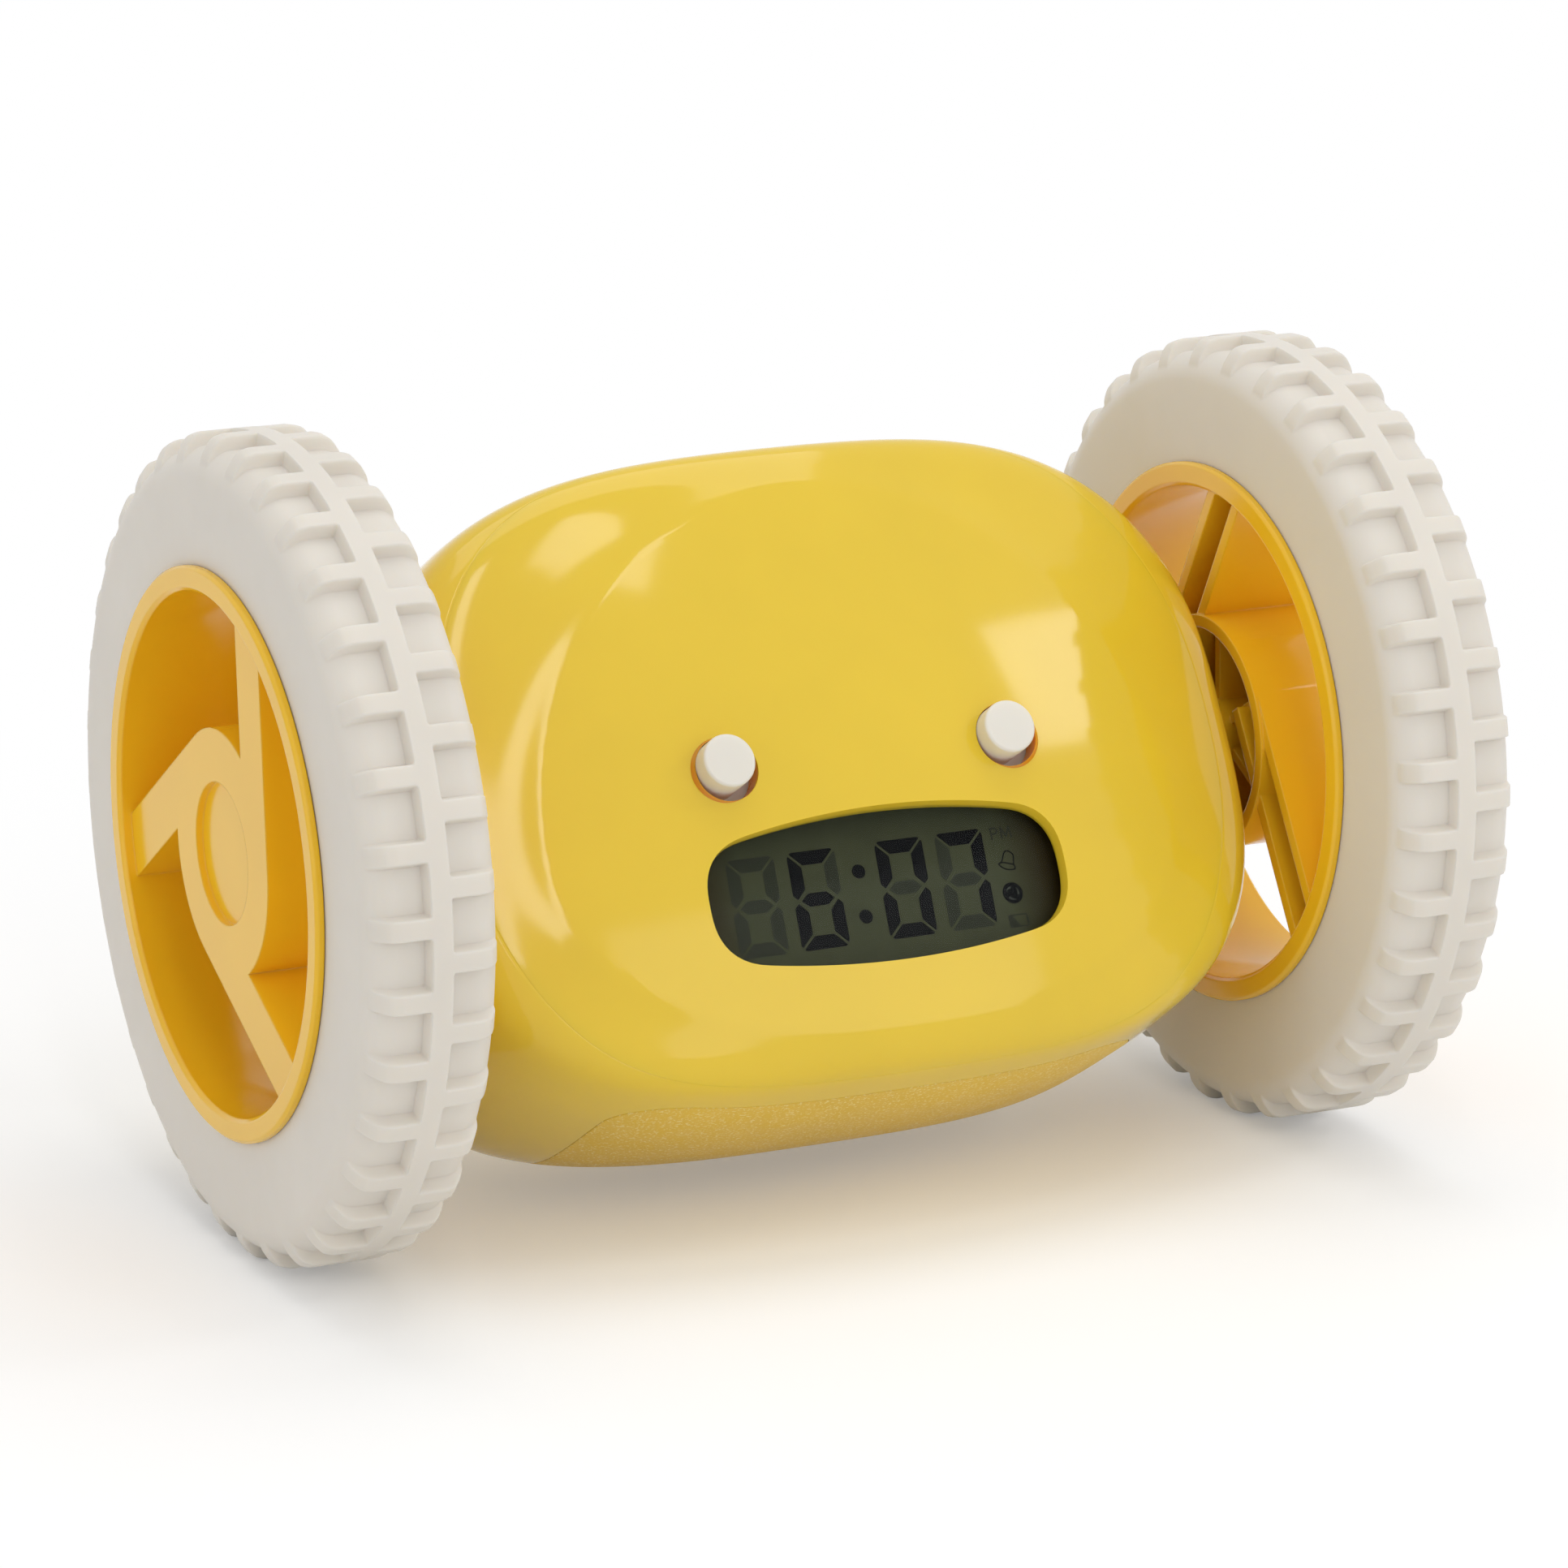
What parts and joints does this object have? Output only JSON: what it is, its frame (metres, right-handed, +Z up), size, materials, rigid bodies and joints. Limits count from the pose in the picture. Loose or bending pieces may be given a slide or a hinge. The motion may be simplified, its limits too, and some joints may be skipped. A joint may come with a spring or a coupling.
{
  "type": "alarm clock",
  "caption": "Egg-shaped digital alarm clock that rolls away on two large treaded wheels, with press-button eyes and a display window for a mouth.",
  "frame": {"origin": "on the floor under the middle of the wheel axle", "axes": "+X along the axle to the right of a person facing the display, the display faces -Y and up, +Z up"},
  "size_m": [0.1326, 0.087, 0.087],
  "materials": {
    "shell_yellow": "glossy moulded",
    "steel": "bright",
    "clear_pane": "clear, polished",
    "lcd": "dark olive display",
    "white_trim": "satin",
    "zebra": "matt",
    "board": "satin solder mask",
    "switch_black": "matt",
    "button_white": "satin",
    "speaker_black": "matt",
    "tray_black": "matt",
    "brass": "bright",
    "cell": "printed foil sleeve",
    "motor_can": "plated",
    "gear_white": "satin",
    "gearcase": "satin",
    "wheel_orange": "glossy moulded",
    "tyre_white": "soft matt silicone"
  },
  "bodies": {
    "housing": {"front_shell": "shell_yellow", "rear_shell": "shell_yellow", "battery_door": "shell_yellow", "door_screw": "steel", "shell_screws": "steel", "display_window": "clear_pane", "lcd_glass": "lcd", "lcd_frame": "white_trim", "zebra_strips": "zebra", "main_board": "board", "board_screws": "steel", "eye_switches": "switch_black", "rear_board": "board", "rear_switches": "switch_black", "speaker": "speaker_black", "battery_box": "tray_black", "battery_contacts": "brass", "battery_1": "cell", "battery_2": "cell", "battery_3": "cell", "battery_4": "cell", "left_motor": "motor_can", "left_idler_pins": "steel", "left_gearbox_base": "gearcase", "left_gearbox_cover": "gearcase", "left_bearing": "brass", "right_motor": "motor_can", "right_idler_pins": "steel", "right_gearbox_base": "gearcase", "right_gearbox_cover": "gearcase", "right_bearing": "brass", "gearbox_screws": "steel"},
    "left_wheel": {"left_rim": "wheel_orange", "left_tyre": "tyre_white", "left_axle": "steel", "left_output_gear": "gear_white"},
    "left_idler_2_gear": {"left_idler_2": "gear_white"},
    "left_idler_1_gear": {"left_idler_1": "gear_white"},
    "left_motor_rotor": {"left_pinion": "brass"},
    "left_eye": {"left_eye_button": "button_white", "left_eye_stem": "switch_black"},
    "right_wheel": {"right_rim": "wheel_orange", "right_tyre": "tyre_white", "right_axle": "steel", "right_output_gear": "gear_white"},
    "right_idler_2_gear": {"right_idler_2": "gear_white"},
    "right_idler_1_gear": {"right_idler_1": "gear_white"},
    "right_motor_rotor": {"right_pinion": "brass"},
    "right_eye": {"right_eye_button": "button_white", "right_eye_stem": "switch_black"},
    "hour_key": {"hour_button": "button_white", "hour_stem": "switch_black"},
    "minute_key": {"minute_button": "button_white", "minute_stem": "switch_black"},
    "alarm_key": {"alarm_button": "button_white", "alarm_stem": "switch_black"},
    "mode_key": {"mode_button": "button_white", "mode_stem": "switch_black"}
  },
  "joints": [
    {"name": "left_wheel_spin", "type": "hinge", "parent": "housing", "child": "left_wheel", "pos_m": [-0.05825, 0, 0.0435], "axis": [1, 0, 0], "continuous": true},
    {"name": "left_idler_2_spin", "type": "hinge", "parent": "housing", "child": "left_idler_2_gear", "pos_m": [-0.033, 0.00598, 0.03252], "axis": [1, 0, 0], "continuous": true},
    {"name": "left_idler_1_spin", "type": "hinge", "parent": "housing", "child": "left_idler_1_gear", "pos_m": [-0.03, 0.0125, 0.04319], "axis": [1, 0, 0], "continuous": true},
    {"name": "left_motor_spin", "type": "hinge", "parent": "housing", "child": "left_motor_rotor", "pos_m": [-0.03, 0.00652, 0.05417], "axis": [1, 0, 0], "continuous": true},
    {"name": "left_eye_press", "type": "slide", "parent": "housing", "child": "left_eye", "axis": [0, 0.8533, -0.5215], "range_m": [0, 0.0006], "stiffness_N_per_m": 600},
    {"name": "right_wheel_spin", "type": "hinge", "parent": "housing", "child": "right_wheel", "pos_m": [0.05825, 0, 0.0435], "axis": [1, 0, 0], "continuous": true},
    {"name": "right_idler_2_spin", "type": "hinge", "parent": "housing", "child": "right_idler_2_gear", "pos_m": [0.033, 0.00598, 0.03252], "axis": [1, 0, 0], "continuous": true},
    {"name": "right_idler_1_spin", "type": "hinge", "parent": "housing", "child": "right_idler_1_gear", "pos_m": [0.03, 0.0125, 0.04319], "axis": [1, 0, 0], "continuous": true},
    {"name": "right_motor_spin", "type": "hinge", "parent": "housing", "child": "right_motor_rotor", "pos_m": [0.03, 0.00652, 0.05417], "axis": [1, 0, 0], "continuous": true},
    {"name": "right_eye_press", "type": "slide", "parent": "housing", "child": "right_eye", "axis": [0, 0.8533, -0.5215], "range_m": [0, 0.0006], "stiffness_N_per_m": 600},
    {"name": "hour_press", "type": "slide", "parent": "housing", "child": "hour_key", "axis": [0, -0.8533, 0.5215], "range_m": [0, 0.0006], "stiffness_N_per_m": 600},
    {"name": "minute_press", "type": "slide", "parent": "housing", "child": "minute_key", "axis": [0, -0.8533, 0.5215], "range_m": [0, 0.0006], "stiffness_N_per_m": 600},
    {"name": "alarm_press", "type": "slide", "parent": "housing", "child": "alarm_key", "axis": [0, -0.8533, 0.5215], "range_m": [0, 0.0006], "stiffness_N_per_m": 600},
    {"name": "mode_press", "type": "slide", "parent": "housing", "child": "mode_key", "axis": [0, -0.8533, 0.5215], "range_m": [0, 0.0006], "stiffness_N_per_m": 600}
  ],
  "couplings": [
    {"joint": "left_idler_2_spin", "follows": "left_wheel_spin", "ratio": -4},
    {"joint": "left_idler_1_spin", "follows": "left_wheel_spin", "ratio": 16},
    {"joint": "left_motor_spin", "follows": "left_wheel_spin", "ratio": -64},
    {"joint": "right_idler_2_spin", "follows": "right_wheel_spin", "ratio": -4},
    {"joint": "right_idler_1_spin", "follows": "right_wheel_spin", "ratio": 16},
    {"joint": "right_motor_spin", "follows": "right_wheel_spin", "ratio": -64}
  ]
}
